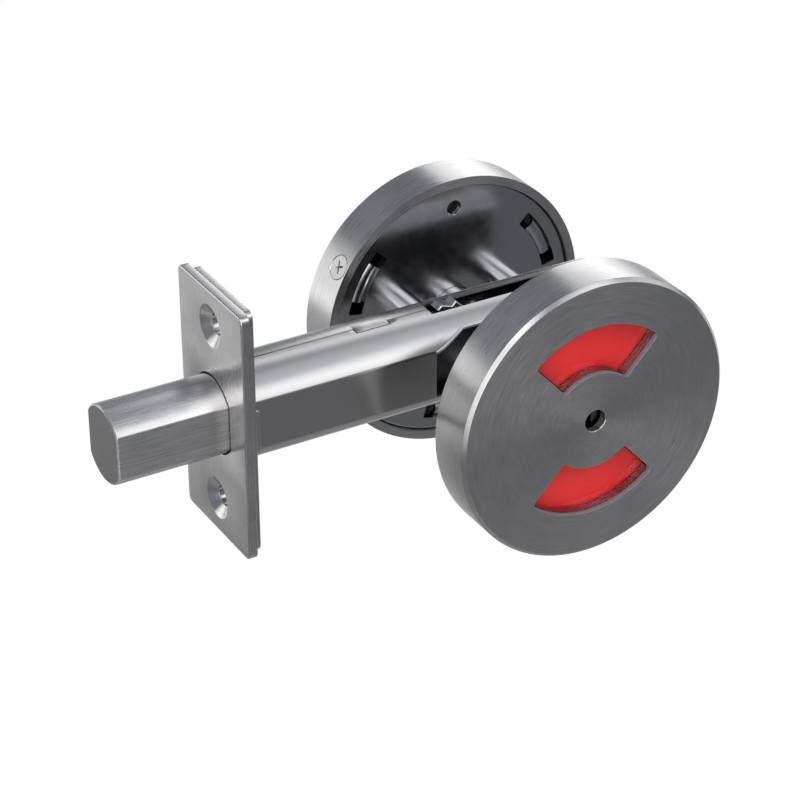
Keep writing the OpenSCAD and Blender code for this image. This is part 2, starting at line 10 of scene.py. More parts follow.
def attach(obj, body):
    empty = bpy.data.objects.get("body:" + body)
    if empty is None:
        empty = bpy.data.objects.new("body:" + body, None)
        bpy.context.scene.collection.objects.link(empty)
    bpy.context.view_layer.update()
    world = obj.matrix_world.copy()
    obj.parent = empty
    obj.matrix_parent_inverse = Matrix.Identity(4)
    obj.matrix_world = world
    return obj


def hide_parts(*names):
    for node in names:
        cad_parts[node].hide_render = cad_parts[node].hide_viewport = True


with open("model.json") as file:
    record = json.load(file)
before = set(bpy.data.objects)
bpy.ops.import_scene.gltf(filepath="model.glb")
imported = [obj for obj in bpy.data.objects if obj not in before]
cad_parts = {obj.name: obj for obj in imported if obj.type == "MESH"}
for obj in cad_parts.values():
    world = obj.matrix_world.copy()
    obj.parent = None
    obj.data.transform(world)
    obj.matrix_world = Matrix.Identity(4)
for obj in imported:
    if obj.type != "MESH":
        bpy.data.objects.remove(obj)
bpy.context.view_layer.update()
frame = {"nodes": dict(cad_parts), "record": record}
nodes = frame["nodes"]
scene = bpy.context.scene
scene.view_settings.view_transform = "Standard"

# Sizes in millimetres, as the solids have them. The chamfer, the windows' corners and the case's
# sheet, bend and seam differ a little from the solids, to be nearer the photograph.
HUB_X, HUB_Z = 72.0, -5.8
ROSE_R, ROSE_DEPTH, RIM_Y = 32.5, 11.2, 23.0
FACE_T, WALL_T, CHAMFER = 2.0, 2.0, 0.78
WIN_IN, WIN_OUT, WIN_HALF, WIN_CORNER = 11.2, 22.3, math.radians(42.6), 0.9
RELEASE_R = 2.5
PLATE_W, PLATE_H, PLATE_T, BACK_T = 28.6, 57.2, 2.0, 1.7
SCREW_Z, SCREW_R, SINK_R, SINK_DEPTH = 20.5, 2.4, 4.7, 1.6
BOLT_R, BOLT_FLAT, BOLT_BEND, THROW, BOLT_REAR = 8.6, 7.05, 0.5, 25.0, 13.0
CASE_R, CASE_FLAT, CASE_WALL, CASE_BEND = 10.9, 9.35, 0.75, 1.2
CASE_START, CASE_END, SIDE_X, RAMP, SIDE_Z = 3.2, 93.5, 48.0, 7.6, 8.3
SLOT_X, SLOT_HALF, TONGUE_END = 50.8, 2.5, 58.0
SEAM_W, SEAM_Y, TAB_Y, TAB_X0, TAB_X1 = 0.22, -0.6, -2.05, 32.9, 41.0
PLAY = 0.3

# The case's bend: the angle from the flat's normal at which it ends, and its centre.
CASE_SWING = math.acos((CASE_FLAT - CASE_BEND) / (CASE_R - CASE_BEND))
BEND_Y, BEND_Z = CASE_FLAT - CASE_BEND, (CASE_R - CASE_BEND) * math.sin(CASE_SWING)

TO_M, TO_MM = 0.001, 1000
MERGE_M, DEGENERATE_M = 2e-6, 1e-7
TINY, NEAR_ZERO = 1e-6, 1e-9
# Part of a normal along an axis from which a face counts as facing that way.
FACING = 0.95
# Share of an edge's inset that its rounding takes, so that the arc ends before the inset does.
ROUND_SHARE = 0.98


# Meshes from grids of points


def grid_faces(rows, cols, first):
    """Corner numbers of the four-sided faces between neighbouring points of a grid."""
    n = first + np.arange(rows * cols).reshape(rows, cols)
    return np.stack([n[:-1, :-1], n[:-1, 1:], n[1:, 1:], n[1:, :-1]], -1).reshape(-1, 4)


def joined(grids):
    """Points of several grids in one list, and the corner numbers of all their faces."""
    starts = np.concatenate([[0], np.cumsum([g.shape[0] * g.shape[1] for g in grids])])
    points = np.concatenate([g.reshape(-1, 3) for g in grids])
    return points, np.concatenate([grid_faces(*g.shape[:2], s) for g, s in zip(grids, starts)])


def add_piece(name, grids, body, finishes, covers=(), crease=30, choose=None):
    """Makes one closed mesh of several grids of points in millimetres: points that coincide are
    merged, faces turn outwards and edges sharper than crease stay sharp. choose turns the faces'
    normals and middles into the number of each one's finish."""
    points, faces = joined(grids)
    mesh = bpy.data.meshes.new(name)
    mesh.from_pydata((points * TO_M).tolist(), [], faces.tolist())
    bm = bmesh.new()
    bm.from_mesh(mesh)
    bmesh.ops.remove_doubles(bm, verts=bm.verts, dist=MERGE_M)
    bmesh.ops.dissolve_degenerate(bm, dist=DEGENERATE_M, edges=bm.edges)
    bmesh.ops.recalc_face_normals(bm, faces=bm.faces)
    if bm.calc_volume(signed=True) < 0:
        bmesh.ops.reverse_faces(bm, faces=bm.faces)
    bm.to_mesh(mesh)
    bm.free()
    mesh.shade_smooth()
    mesh.set_sharp_from_angle(angle=math.radians(crease))
    for each in finishes:
        mesh.materials.append(each)
    if choose:
        normals, middles = np.empty((2, len(mesh.polygons) * 3), np.float32)
        mesh.polygons.foreach_get("normal", normals)
        mesh.polygons.foreach_get("center", middles)
        chosen = choose(normals.reshape(-1, 3), middles.reshape(-1, 3) * TO_MM)
        mesh.polygons.foreach_set("material_index", chosen.astype(np.int32))
    piece = bpy.data.objects.new(name, mesh)
    scene.collection.objects.link(piece)
    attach(piece, body)
    if covers:
        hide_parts(*covers)


def rounded(corners, radii, steps=5):
    """Open line whose inner corners become arcs of the given radii, touching both sides."""
    corners = np.asarray(corners, float)
    radii = np.broadcast_to(np.asarray(radii, float), len(corners) - 2)
    t = np.linspace(0, 1, steps + 1)[:, None]
    parts = [corners[:1]]
    for before, here, after, r in zip(corners[:-2], corners[1:-1], corners[2:], radii):
        a = (before - here) / np.linalg.norm(before - here)
        b = (after - here) / np.linalg.norm(after - here)
        half = 0.5 * math.acos(np.clip(a @ b, -1, 1))
        middle = here + (a + b) / np.linalg.norm(a + b) * r / math.sin(half)
        start = here + a * r / math.tan(half) - middle
        end = here + b * r / math.tan(half) - middle
        swing = math.pi - 2 * half
        arc = (np.sin((1 - t) * swing) * start + np.sin(t * swing) * end) / math.sin(swing)
        parts.append(middle + arc)
    parts.append(corners[-1:])
    return np.concatenate(parts)


def turned_points(angle, radius, height, side):
    """Points at an angle and radius about the spindle's axis and a height above the rim; side -1 is
    outside."""
    return np.stack([HUB_X + radius * np.sin(angle), side * (RIM_Y + height) + 0 * angle,
                     HUB_Z + radius * np.cos(angle)], -1)


def turned(profile, angles, side):
    """Profile of radius and height above the rim, carried round the spindle's axis."""
    return turned_points(angles, profile[:, :1], profile[:, 1:], side)


# Roses


def window_edge(grow):
    """Outline of a window, grown by an amount on every side: an outer arc, a corner arc, a radial
    side, a corner arc and an inner arc about the spindle, then the same mirrored. Corner centres
    stay put."""
    outer_n, corner_n, side_n, inner_n = 120, 14, 34, 90
    in_r, out_r = WIN_IN + WIN_CORNER, WIN_OUT - WIN_CORNER
    in_half = WIN_HALF - math.asin(WIN_CORNER / in_r)
    out_half = WIN_HALF - math.asin(WIN_CORNER / out_r)

    def arc(radius, centre_r, centre_a, a0, a1, n):
        a = np.linspace(a0, a1, n)
        return np.stack([centre_r * math.sin(centre_a) + radius * np.sin(a),
                         centre_r * math.cos(centre_a) + radius * np.cos(a)], -1)

    corner = WIN_CORNER + grow
    side = WIN_HALF + math.pi / 2
    outer = arc(WIN_OUT + grow, 0, 0, 0, out_half, outer_n)
    upper = arc(corner, out_r, out_half, out_half, side, corner_n)
    lower = arc(corner, in_r, in_half, side, math.pi + in_half, corner_n)
    t = np.linspace(0, 1, side_n)[1:-1, None]
    straight = upper[-1] * (1 - t) + lower[0] * t
    inner = arc(WIN_IN - grow, 0, 0, in_half, 0, inner_n)
    right = np.concatenate([outer[:-1], upper, straight, lower, inner[1:]])
    left = right[::-1] * [-1, 1]
    return np.concatenate([right[:-1], left])


def unrolled(edge, middle):
    """Outline in a flat picture: across is the angle times a middle radius, up is the radius."""
    return np.stack([np.arctan2(edge[:, 0], edge[:, 1]) * middle, np.hypot(*edge.T) - middle], -1)


def rolled_up(flat, middle, height, side, back):
    """Points of that flat picture put back about the spindle, turned by the angle back."""
    return turned_points(flat[..., 0] / middle + back, flat[..., 1] + middle, height, side)


def face_border(edge, r_in, r_out):
    """Where rays from the window's middle, drawn in angle and radius, leave the half face: returns
    the window's and the border's places in that flat picture, its middle radius and its half
    height. The four corners of the border are kept."""
    middle = (r_in + r_out) / 2
    half_w, half_h = math.pi / 2 * middle, (r_out - r_in) / 2
    start = unrolled(edge, middle)
    ray = np.arctan2(start[:, 1], start[:, 0])
    reach = np.minimum(half_w / np.maximum(np.abs(np.cos(ray)), NEAR_ZERO),
                       half_h / np.maximum(np.abs(np.sin(ray)), NEAR_ZERO))
    end = np.stack([np.cos(ray), np.sin(ray)], -1) * reach[:, None]
    for corner in ((half_w, half_h), (half_w, -half_h), (-half_w, -half_h), (-half_w, half_h)):
        gap = np.abs(np.angle(np.exp(1j * (ray - math.atan2(corner[1], corner[0])))))
        end[np.argmin(gap)] = corner
    return start, end, middle, half_h


def rose(name, hole_r, side, covers):
    """Cup with a flat face: outer skin and hole are revolved profiles with rounded edges, the face
    is two halves round the windows, drawn along rays in angle and radius, and the windows' walls
    are their outline carried down."""
    edge_round, hole_land, wall_land = 0.16, 0.4, 0.1
    under = ROSE_DEPTH - FACE_T
    wall_r = ROSE_R - WALL_T
    r_in, r_out = hole_r + hole_land, wall_r - wall_land
    start, end, middle, half_h = face_border(window_edge(edge_round), r_in, r_out)
    top = np.unique(np.round(end[end[:, 1] > half_h - NEAR_ZERO, 0] / middle, 9))
    low = np.unique(np.round(end[end[:, 1] < -half_h + NEAR_ZERO, 0] / middle, 9))
    outer_a = np.concatenate([top[:-1], top[:-1] + math.pi, top[:1] + 2 * math.pi])
    inner_a = np.concatenate([low[:-1], low[:-1] + math.pi, low[:1] + 2 * math.pi])
    skin = rounded([(r_out, ROSE_DEPTH), (ROSE_R - CHAMFER, ROSE_DEPTH),
                    (ROSE_R, ROSE_DEPTH - CHAMFER), (ROSE_R, 0), (wall_r, 0), (wall_r, under),
                    (r_out, under)], [0.16, 0.16, 0.22, 0.2, 0.05])
    hole = rounded([(r_in, ROSE_DEPTH), (hole_r, ROSE_DEPTH), (hole_r, under), (r_in, under)],
                   [0.25, 0.1])
    drop = rounded([(edge_round, ROSE_DEPTH), (0, ROSE_DEPTH), (0, under)],
                   [edge_round * ROUND_SHARE], 4)
    drop[0, 0] = edge_round
    wall = np.stack([window_edge(grow) for grow in drop[:, 0]])
    wall_a = np.arctan2(wall[..., 0], wall[..., 1])
    wall_reach = np.hypot(wall[..., 0], wall[..., 1])
    t = np.linspace(0, 1, 6)[:, None, None]
    face = start * (1 - t) + end * t
    inside = np.stack([unrolled(window_edge(0), middle), end])
    grids = [turned(skin, outer_a, side), turned(hole, inner_a, side)]
    for back in (0, math.pi):
        grids.append(rolled_up(face, middle, ROSE_DEPTH, side, back))
        grids.append(turned_points(wall_a + back, wall_reach, drop[:, 1:], side))
        grids.append(rolled_up(inside, middle, under, side, back))

    def choose(n, c):
        """Face, window walls, or the rest."""
        zone_in, zone_out = 8, 25
        reach = np.hypot(c[:, 0] - HUB_X, c[:, 2] - HUB_Z)
        in_window = ((reach > zone_in) & (reach < zone_out)
                     & (np.abs(c[:, 1]) > RIM_Y + under - 0.01))
        return np.where(n[:, 1] * side > FACING, 1, 2 * in_window)

    add_piece(name, grids, "lock", [satin_side, satin_face, window_wall_painted_reflection], covers,
              choose=choose)


# Plates


ROW_N = 33


def plate_border(inset, half_w, half_h, corner, split):
    """Outline of a plate moved in by inset, as (y, z) in the order right side, top, left side,
    bottom; the sides carry the same heights for every inset, the two split heights among them."""
    end_n, middle_n, bend_n = 18, 31, 9
    z = np.concatenate([np.linspace(-half_h + corner, -split, end_n),
                        np.linspace(-split, split, middle_n)[1:],
                        np.linspace(split, half_h - corner, end_n)[1:]])
    y = np.linspace(half_w - corner, -half_w + corner, ROW_N)
    turn = np.linspace(0, math.pi / 2, bend_n)[1:-1]
    r = corner - inset

    def bend(cy, cz, a0):
        return np.stack([cy + r * np.cos(a0 + turn), cz + r * np.sin(a0 + turn)], -1)

    cy, cz = half_w - corner, half_h - corner
    right = np.stack([0 * z + half_w - inset, z], -1)
    top = np.stack([y, 0 * y + half_h - inset], -1)
    return np.concatenate([right, bend(cy, cz, 0), top, bend(-cy, cz, math.pi / 2), -right,
                           bend(-cy, -cz, math.pi), -top, bend(cy, -cz, 1.5 * math.pi), right[:1]])


def zone_border(border, low, high, half):
    """Part of a plate's outline between two heights, closed by straight rows of points."""
    z = border[:-1, 1]
    y = np.linspace(half, -half, ROW_N)[1:-1]
    rows = [border[:-1][(z >= low - TINY) & (z <= high + TINY)]]
    if high < border[:, 1].max() - TINY:
        rows.append(np.stack([y, 0 * y + high], -1))
    if low > border[:, 1].min() + TINY:
        rows.append(np.stack([y, 0 * y + low], -1))
    loop = np.concatenate(rows)
    loop = loop[np.argsort(np.arctan2(loop[:, 1] - (low + high) / 2, loop[:, 0]))]
    return np.concatenate([loop, loop[:1]])


def flatted_at(angle, radius, flat):
    """Distance from the axis to the outline of a rod with two flats, at an angle from the flats'
    normal."""
    return np.minimum(radius, flat / np.maximum(np.abs(np.cos(angle)), NEAR_ZERO))


def holed_plate(name, x0, x1, half_w, half_h, corner, front, screw_rows, bolt_rows, covers,
                extra=()):
    """Flat plate with two screw holes and the bolt's opening: a rounded edge carried round the
    outline, and for each hole a sheet that runs from the front's border over the hole's profile to
    the back's. front is the inset of the front's rounded edge."""
    split, back, back_round = 12.4, 0.15, 0.14
    rim = rounded([(front, x0), (0, x0), (0, x1), (back, x1)], [front * ROUND_SHARE, back_round])
    rim[[0, -1], 0] = front, back

    def border(inset):
        return plate_border(inset, half_w, half_h, corner, split)

    outlines = np.stack([border(inset) for inset in rim[:, 0]])
    x = np.broadcast_to(rim[:, 1:], outlines.shape[:2])
    grids = [np.stack([x, outlines[..., 0], outlines[..., 1]], -1)]

    def hole(low, flip, reach):
        """Sheet of the zone between a height and the plate's end, or, where flip is 0, the other
        split height; reach gives the hole's rows."""
        near, far = [zone_border(border(d), low, half_h - d if flip else split, half_w - d)
                     * [1, flip or 1] for d in (front, back)]
        rows_x, ring = reach(near)
        yz = np.concatenate([near[None], ring, far[None]])
        rows_x = np.concatenate([[x0], rows_x, [x1]])[:, None] + 0 * yz[..., 0]
        return np.stack([rows_x, yz[..., 0], yz[..., 1]], -1)

    def screw_hole(loop, flip):
        angle = np.arctan2(loop[:, 1] - flip * SCREW_Z, loop[:, 0])
        r, rows_x = screw_rows[:, :1], screw_rows[:, 1]
        return rows_x, np.stack([r * np.cos(angle), flip * SCREW_Z + r * np.sin(angle)], -1)

    def bolt_hole(loop):
        radius, flat = BOLT_R + PLAY, BOLT_FLAT + PLAY
        angle = np.arctan2(loop[:, 1], loop[:, 0])
        turn = math.acos(flat / radius)
        for a in (turn, math.pi - turn, -turn, turn - math.pi):
            angle[np.argmin(np.abs(angle - a))] = a
        angle[-1] = angle[0]
        r = flatted_at(angle, radius + bolt_rows[:, :1], flat + bolt_rows[:, :1])
        return bolt_rows[:, 1], np.stack([r * np.cos(angle), r * np.sin(angle)], -1)

    for flip in (1, -1):
        grids.append(hole(split, flip, lambda loop: screw_hole(loop, flip)))
    grids.append(hole(-split, 0, bolt_hole))

    def choose(n, c):
        """Screw seats, top and bottom edges, or the rest."""
        from_screw = np.hypot(c[:, 1], np.abs(c[:, 2]) - SCREW_Z)
        seat = (from_screw < SINK_R + 0.3) & (np.abs(n[:, 0]) < FACING)
        return np.where(seat, 2, np.abs(n[:, 2]) > 0.9)

    add_piece(name, grids + list(extra), "lock", [satin_plate, satin_edge, turned_seat],
              covers, choose=choose)


def slab(outline, profile, place):
    """Solid piece: an outline that shrinks by the profile's inset while the depth grows, closed by
    drawing each end in to the outline's middle; place turns (u, v, depth) into a point."""
    rows = np.stack([outline(inset) for inset in profile[:, 0]])
    middle = rows.mean(axis=1, keepdims=True)
    first, last = (np.broadcast_to(end, rows[:1].shape) for end in (middle[:1], middle[-1:]))
    uv = np.concatenate([first, rows, last])
    depth = np.concatenate([profile[:1, 1], profile[:, 1], profile[-1:, 1]])[:, None]
    return place(uv[..., 0], uv[..., 1], depth + 0 * uv[..., 0])


def round_box(half_u, half_v, corner):
    """Outline of a rectangle with round corners about the middle, as a function of inset."""
    cu, cv = half_u - corner, half_v - corner
    turn = np.linspace(0, math.pi / 2, 7)
    quarters = ((1, 1, 0), (-1, 1, math.pi / 2), (-1, -1, math.pi), (1, -1, 1.5 * math.pi))

    def bend(su, sv, a, r):
        return np.stack([su * cu + r * np.cos(a + turn), sv * cv + r * np.sin(a + turn)], -1)

    def outline(inset):
        loop = np.concatenate([bend(*quarter, corner - inset) for quarter in quarters])
        return np.concatenate([loop, loop[:1]])
    return outline


def bevelled(corners):
    """Outline of a polygon as a function of inset: every side moves in by the same distance."""
    corners = np.asarray(corners, float)
    ahead = np.roll(corners, -1, axis=0) - corners
    ahead = ahead / np.linalg.norm(ahead, axis=1, keepdims=True)
    inward = np.stack([-ahead[:, 1], ahead[:, 0]], -1)
    before = np.roll(inward, 1, axis=0)
    shift = (inward + before) / (1 + (inward * before).sum(axis=1, keepdims=True))

    def outline(inset):
        loop = corners + inset * shift
        return np.concatenate([loop, loop[:1]])
    return outline


def lever_grids():
    """Hub with two journals as a revolved profile, and the lever as its stepped outline carried
    across with bevelled edges, leaning half a turn's travel towards the bolt."""
    journal_r, journal_y, hub_r, hub_y = 5.0, 9.0, 6.6, 4.1
    half_w, root, shoulder, tip = 2, 4.6, 22.7, 25.1
    step_u, tip_u = 0.6, -0.7
    half_t, bevel = 1.6, 0.2
    hub = rounded([(0, -journal_y), (journal_r, -journal_y), (journal_r, -hub_y), (hub_r, -hub_y),
                   (hub_r, hub_y), (journal_r, hub_y), (journal_r, journal_y), (0, journal_y)],
                  [0.3, 0.05, 0.2, 0.2, 0.05, 0.3]) - [0, RIM_Y]
    arm = bevelled([(-half_w, root), (half_w, root), (half_w, shoulder), (step_u, shoulder),
                    (tip_u, tip), (-half_w, tip)])
    flat = half_t - bevel
    lean = math.sqrt(0.5)
    return [turned(hub, np.linspace(0, 2 * math.pi, 73), 1),
            slab(arm, np.array([(bevel, -half_t), (0, -flat), (0, flat), (bevel, half_t)]),
                 lambda u, v, d: np.stack([HUB_X + (u - v) * lean, d, HUB_Z + (u + v) * lean], -1))]


def lens_grids(side):
    """Two clear lenses: a flange behind the face and a pad in the window, both the window's outline
    grown or shrunk, with the pad's front edge rounded."""
    flange_grow, flange_low, flange_high = 0.8, 7.7, 9.1
    pad_shrink, pad_low, pad_high, pad_inset, pad_round = 0.06, 7.75, 10.2, 0.34, 0.32
    flange = np.array([(0, flange_low), (0, flange_high)])
    pad = rounded([(pad_inset, pad_high), (0, pad_high), (0, pad_low)], [pad_round], 6)
    pad[0, 0] = pad_inset
    grids = []
    for back in (0, math.pi):
        def place(u, v, d, back=back):
            return turned_points(np.arctan2(u, v) + back, np.hypot(u, v), d, side)
        grids.append(slab(lambda inset: window_edge(flange_grow - inset), flange, place))
        grids.append(slab(lambda inset: window_edge(-pad_shrink - inset), pad, place))
    return grids


# Bolt and case


def rod_outline(radius, flat, bend, grow):
    """Outline of a rod with two flats: right flat, top arc, left flat and bottom arc, with an arc
    of radius bend at each of the four corners; grow moves every side out and the arcs' centres
    stay."""
    arc_n, flat_n, bend_n = 40, 14, 8
    swing = math.acos((flat - bend) / (radius - bend))
    cy, cz = flat - bend, (radius - bend) * math.sin(swing)

    def arc(y, z, r, a0, a1, n):
        a = np.linspace(a0, a1, n)
        return np.stack([y + r * np.cos(a), z + r * np.sin(a)], -1)

    low = arc(cy, -cz, bend + grow, -swing, 0, bend_n)
    up = arc(cy, cz, bend + grow, 0, swing, bend_n)
    t = np.linspace(0, 1, flat_n + 2)[1:-1, None]
    straight = low[-1] * (1 - t) + up[0] * t
    top = arc(0, 0, radius + grow, swing, math.pi - swing, arc_n)[1:-1]
    half = np.concatenate([low, straight, up, top])
    return np.concatenate([half, -half, half[:1]])


def along_bolt(yz, x):
    """Points (y, z) of one or more outlines, put at places along the bolt's axis."""
    return np.stack([x + 0 * yz[..., 0], yz[..., 0], yz[..., 1]], -1)


def bolt_grids():
    """Bolt head: a flatted rod drawn in to its end face over a small round, then, behind the step
    where the tail lies, the same rod with a notch cut in its top."""
    notch_x, notch_y, notch_z = BOLT_REAR - 9, 3.7, 4.9
    end_cut, end_inset, rear_z = 0.36, 0.44, -2
    notch_top = math.sqrt(BOLT_R ** 2 - notch_y ** 2)
    profile = rounded([(end_inset, -THROW), (end_cut, -THROW), (0, -THROW + end_cut), (0, notch_x)],
                      [0.08, 0.16])
    rows = np.stack([rod_outline(BOLT_R, BOLT_FLAT, BOLT_BEND, -inset) for inset in profile[:, 0]])
    for y in (notch_y, -notch_y):
        nearest = np.argmin(np.hypot(*(rows[-1] - [y, notch_top]).T))
        rows[:, nearest] = (1 - profile[:, :1] / BOLT_R) * [y, notch_top]
    front = np.concatenate([0 * rows[:1], rows])
    front_x = np.concatenate([profile[:1, 1], profile[:, 1]])[:, None]
    ring = rows[-1][:-1]
    in_notch = np.flatnonzero((np.abs(ring[:, 0]) < notch_y + TINY) & (ring[:, 1] > 0))
    arc = ring[in_notch]
    rest = np.concatenate([ring[in_notch[-1] + 1:], ring[:in_notch[0]]])
    floor = np.stack([np.linspace(notch_y, -notch_y, len(arc)), np.full(len(arc), notch_z)], -1)
    body = np.concatenate([arc[-1:], rest, arc[:1], floor])
    body = np.concatenate([body, body[:1]])
    ends = np.stack([body, body, body * 0 + [0, rear_z]])
    ends_x = np.array([notch_x, BOLT_REAR, BOLT_REAR])[:, None]
    return [along_bolt(front, front_x), along_bolt(ends, ends_x),
            along_bolt(np.stack([arc, floor]), notch_x)]


def case_point(turn, x, mirror=1, depth=0.0):
    """Point of the case's outer face whose outward normal points at the angle turn, or a depth
    below it: on the round part it lies on the big circle, and near the flats on the bend's small
    circle."""
    c, s = np.cos(turn), np.sin(turn)
    on_bend = np.abs(c) > math.cos(CASE_SWING)
    y = np.where(on_bend, np.sign(c) * BEND_Y + CASE_BEND * c, CASE_R * c)
    z = np.where(on_bend, np.sign(s) * BEND_Z + CASE_BEND * s, CASE_R * s)
    return np.stack([x + 0 * y, mirror * (y - depth * c), z - depth * s], -1)


def turn_at_height(z):
    """Angle of the outward normal on the case's near upper quarter at a height z."""
    on_arc = math.pi - np.arcsin(np.clip(z / CASE_R, -1, 1))
    on_bend = math.pi - np.arcsin(np.clip((z - BEND_Z) / CASE_BEND, 0, 1))
    return np.where(z > CASE_R * math.sin(CASE_SWING), on_arc, on_bend)


def turn_at_ramp(x):
    """Angle of the outward normal at the side opening's edge, which climbs the ramp and then is
    level."""
    return turn_at_height(BEND_Z + np.clip((x - SIDE_X) / RAMP, 0, 1) * (SIDE_Z - BEND_Z))


def case_grids(depth=0.0):
    """Rolled sheet's face at a depth, as a surface of place along the bolt and angle round it: two
    top strips from the jogged seam or the slot to the side opening's ramp, two flats, and a bottom
    that ends in a tongue. Rows lie in close pairs where the seam jogs."""
    jog, pair = SEAM_W / 2, 0.02
    ramp_foot, tongue_x = SIDE_X + 1.2, SIDE_X + RAMP - 1
    # A hair short of level, where the sign of z would change.
    level = math.pi / 2 - 1e-7
    jog_x = (TAB_X0 - jog, TAB_X0 + jog, TAB_X1 - jog, TAB_X1 + jog)
    x = np.unique(np.concatenate([np.linspace(CASE_START, SIDE_X, 12)]
                                 + [[c - pair, c + pair] for c in jog_x]))
    ramp_x = np.concatenate([np.linspace(SIDE_X, ramp_foot, 9), np.linspace(SIDE_X, SLOT_X, 6)])
    top_x = np.unique(np.concatenate([x, ramp_x]))
    far_x = np.unique(np.concatenate([ramp_x, np.linspace(SLOT_X, SIDE_X + RAMP, 9),
                                      np.linspace(SIDE_X + RAMP, CASE_END, 8)]))
    lip = math.acos(-SLOT_HALF / CASE_R)
    t = np.linspace(0, 1, 41)
    grids = []
    for mirror in (1, -1):
        in_tab = (top_x > TAB_X0 - mirror * jog) & (top_x < TAB_X1 + mirror * jog)
        seam_y = np.where(in_tab, TAB_Y, SEAM_Y)
        first = np.arccos((seam_y if mirror == 1 else -seam_y - SEAM_W) / CASE_R)[:, None]
        grids.append(case_point(first * (1 - t[::4]) + lip * t[::4], top_x[:, None], mirror, depth))
        for rows in (x, far_x):
            last = np.where(rows > SIDE_X + TINY, turn_at_ramp(rows), math.pi)[:, None]
            grids.append(case_point(lip * (1 - t) + last * t, rows[:, None], mirror, depth))
        z = np.linspace(BEND_Z, -BEND_Z, 13)
        flat_y = -mirror * (CASE_FLAT - depth)
        grids.append(np.stack(np.broadcast_arrays(x[:, None], flat_y, z), -1))
    tongue = np.concatenate([np.linspace(SIDE_X, tongue_x, 4),
                             np.linspace(tongue_x, TONGUE_END, 12)[1:]])
    t = np.linspace(-1, 1, 81)
    for rows in (x, tongue):
        drop = np.clip((rows - tongue_x) / (TONGUE_END - tongue_x), 0, 1)
        low = turn_at_height(BEND_Z + drop * (CASE_R - 1e-4 - BEND_Z)) - math.pi / 2
        low = np.where(drop > 0, low, level)[:, None]
        grids.append(case_point(1.5 * math.pi + low * t, rows[:, None], 1, depth))
    return grids


def sheet_rim(outer, inner):
    """Strips that close a sheet: each edge that only one face of the outer grids has, joined to the
    same edge of the inner grids."""
    top, faces = joined(outer)
    under, _ = joined(inner)
    same = np.unique(np.round(top, 3), axis=0, return_inverse=True)[1].reshape(-1)
    edges = np.stack([faces, np.roll(faces, -1, axis=1)], -1).reshape(-1, 2)
    edges = edges[same[edges[:, 0]] != same[edges[:, 1]]]
    _, first, times = np.unique(np.sort(same[edges], axis=1), axis=0, return_index=True,
                                return_counts=True)
    lone = edges[first[times == 1]]
    return list(np.stack([top[lone], under[lone]], 1))


def bead_grid(mirror):
    """Smooth edge of a side opening: a small circle carried up the ramp and along the case's edge,
    its middle a little under the sheet's outer face, drawn in to a point at both ends."""
    bead_r, sunk = 0.42, 0.22
    x = np.unique(np.concatenate([np.linspace(SIDE_X, SIDE_X + RAMP, 17),
                                  np.linspace(SIDE_X + RAMP, CASE_END - 0.3, 25)]))
    turn = turn_at_ramp(x)
    path = case_point(turn, x, mirror)
    out = np.stack([0 * turn, mirror * np.cos(turn), np.sin(turn)], -1)
    ahead = np.gradient(path, axis=0)
    aside = np.cross(ahead / np.linalg.norm(ahead, axis=1, keepdims=True), out)
    a = np.linspace(0, 2 * math.pi, 17)[:, None, None]
    ring = path - sunk * out + bead_r * (np.cos(a) * out + np.sin(a) * aside)
    middle = np.broadcast_to(path - sunk * out, ring.shape)
    return np.concatenate([middle[:, :1], ring, middle[:, -1:]], axis=1)


# Small fasteners


def screw_grid():
    """Countersunk screw on the inside rose's side: shank, cone and flat head are circles of a
    radius and height, and inside them the outline of a cross, found as the longer of two bars along
    each ray, narrows to the bottom of the recess."""
    arm_l, arm_w = 1.45, 0.2
    shank_r, shank_low, shank_high = 1.5, -4.4, -1.4
    head_r, head_low, top_r, land_r = 2.86, -0.08, 2.7, 1.9
    seat_y, sunk = 3.3, 0.04
    tilt, twist = math.radians(149.3), 0.3 + math.pi / 4
    bend = math.atan2(arm_w, arm_l)
    keys = np.array([0.0, bend, math.pi / 4, math.pi / 2 - bend])
    ray = np.unique(np.round(np.concatenate([np.linspace(0, 2 * math.pi, 97)] + [
        keys + k * math.pi / 2 for k in range(4)]), 6))
    c, s = np.maximum(np.abs(np.cos(ray)), NEAR_ZERO), np.maximum(np.abs(np.sin(ray)), NEAR_ZERO)
    cross = np.maximum(np.minimum(arm_l / c, arm_w / s), np.minimum(arm_l / s, arm_w / c))
    round_rows = rounded([(0, shank_low), (shank_r, shank_low), (shank_r, shank_high),
                          (head_r, head_low), (top_r, 0), (land_r, 0)], [0.1, 0.1, 0.05, 0.05])
    recess_share, recess_height = [[1.04], [0.97], [0.7]], [0, -0.12, -1.0, -1.25]
    radius = np.concatenate([round_rows[:, :1] + 0 * cross, cross * recess_share, 0 * cross[None]])
    height = np.concatenate([round_rows[:, 1], recess_height])[:, None, None]
    out = np.array([math.cos(tilt), 0, math.sin(tilt)])
    aside, across = np.array([-math.sin(tilt), 0, math.cos(tilt)]), np.array([0, 1.0, 0])
    seat = np.array([HUB_X, RIM_Y + seat_y, HUB_Z]) + out * (ROSE_R - sunk)
    turn = ray + twist
    u, v = (radius * np.cos(turn))[..., None], (radius * np.sin(turn))[..., None]
    return seat + u * aside + v * across + height * out


